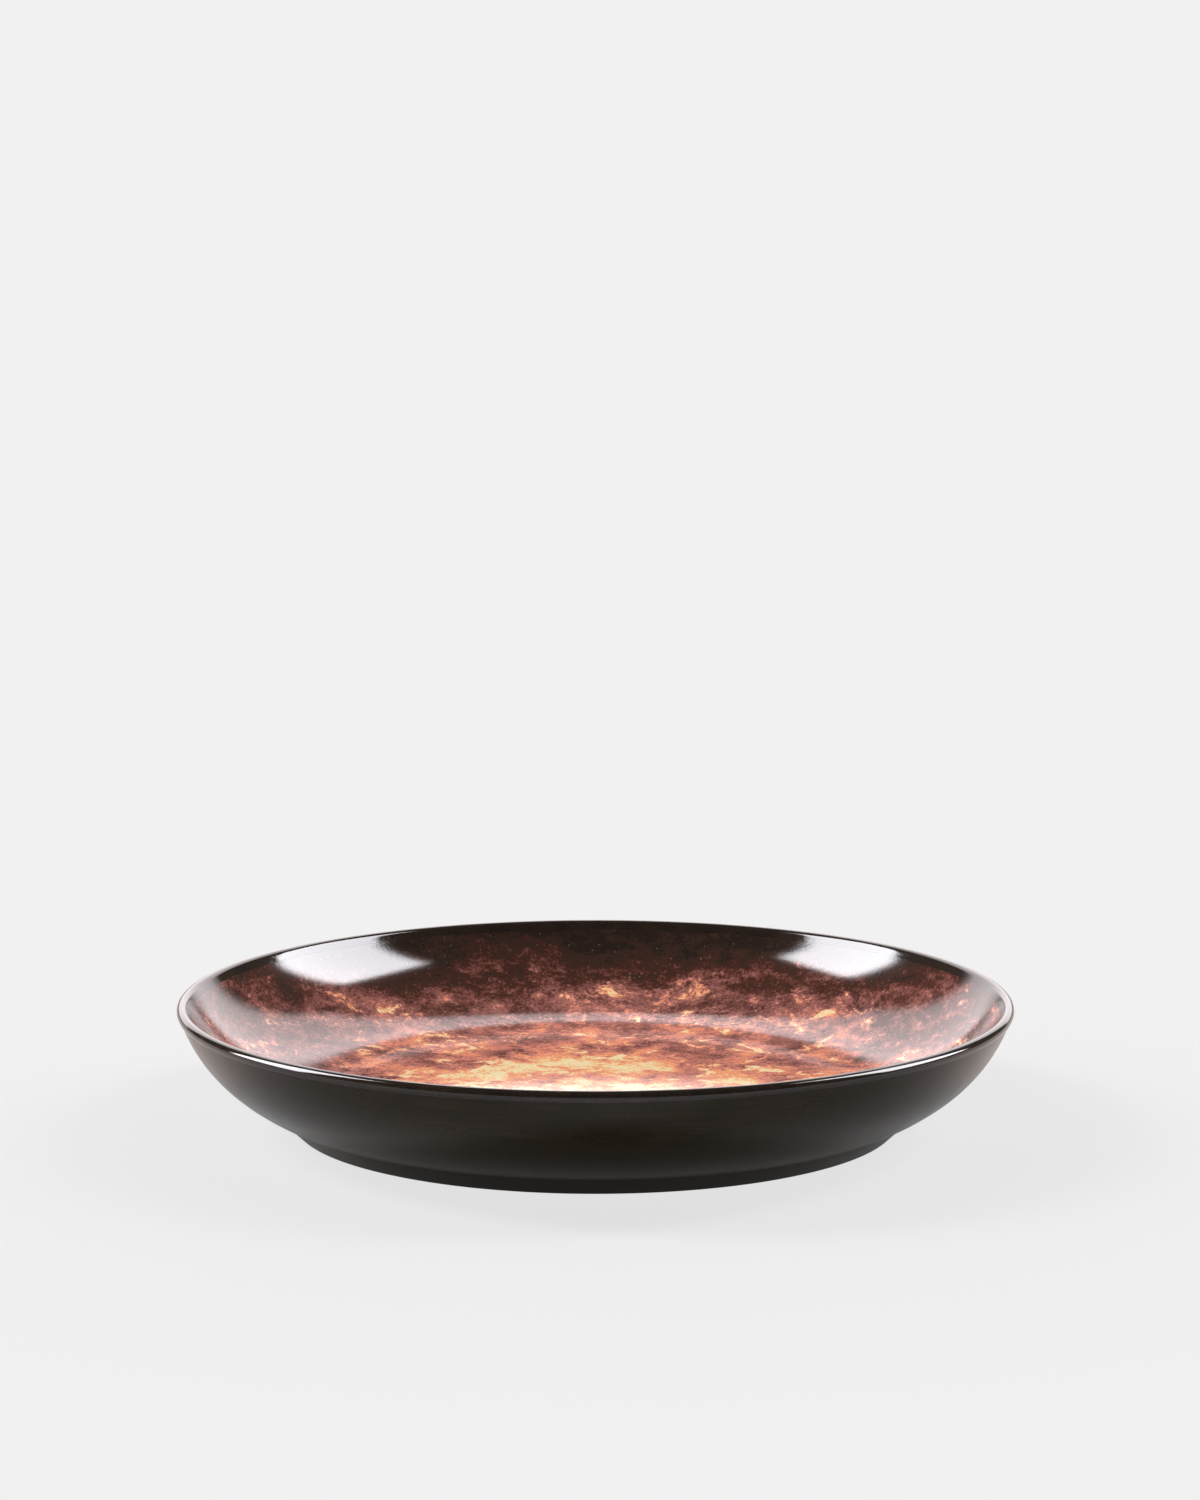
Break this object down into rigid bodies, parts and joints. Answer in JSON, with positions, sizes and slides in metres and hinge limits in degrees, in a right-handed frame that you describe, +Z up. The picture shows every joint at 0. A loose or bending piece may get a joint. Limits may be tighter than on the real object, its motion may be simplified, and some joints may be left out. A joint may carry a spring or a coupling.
{
  "type": "soup plate",
  "caption": "Round deep plate with a curved wall, a round lip and a tapered foot ring, satin dark outside and gloss mottled inside, for serving soup.",
  "frame": {"origin": "centre of the foot ring on the plane that the plate stands on", "axes": "+Z up along the plate's axis; the plate is round, so X and Y are any two level directions"},
  "size_m": [0.235, 0.235, 0.0355],
  "materials": {
    "clay": "bare fired clay on the foot's land",
    "satin_glaze": "satin",
    "rim_glaze": "gloss",
    "decoration": "mottled colour under glaze",
    "clear_glaze": "clear gloss over the colour"
  },
  "bodies": {
    "root": {"body": "clay", "outer_glaze": "satin_glaze", "base_glaze": "satin_glaze", "rim_glaze": "rim_glaze", "decoration": "decoration", "inner_glaze": "clear_glaze"}
  },
  "joints": []
}
